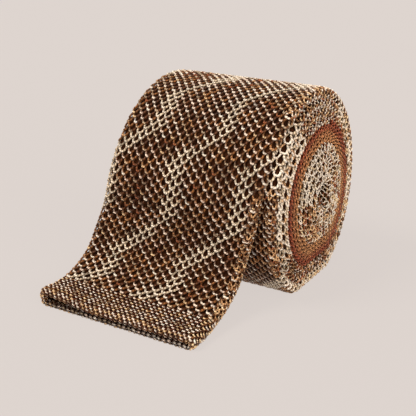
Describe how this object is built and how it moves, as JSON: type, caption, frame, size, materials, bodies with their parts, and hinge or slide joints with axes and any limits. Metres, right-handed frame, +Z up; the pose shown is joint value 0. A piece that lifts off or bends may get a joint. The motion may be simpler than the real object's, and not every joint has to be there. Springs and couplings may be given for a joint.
{
  "type": "rolled knit tie",
  "caption": "Flat tubular knit tie in brown and cream crochet, rolled from its tail with the blade's square hem laid out in front.",
  "frame": {"origin": "on the surface the tie rests on, under the middle of its bounding box", "axes": "+X along the roll's axis towards the tie's right edge, -Y towards the hem, +Z up"},
  "size_m": [0.0748, 0.1, 0.0705],
  "materials": {
    "blade_crochet": "silk crochet net, dark brown ground with cream and rust stripes",
    "neckband_knit": "fine plain silk knit in rust brown",
    "tail_crochet": "silk crochet net, cream and brown marl"
  },
  "bodies": {
    "root": {"blade": "blade_crochet", "neckband": "neckband_knit", "tail": "tail_crochet"}
  },
  "joints": []
}
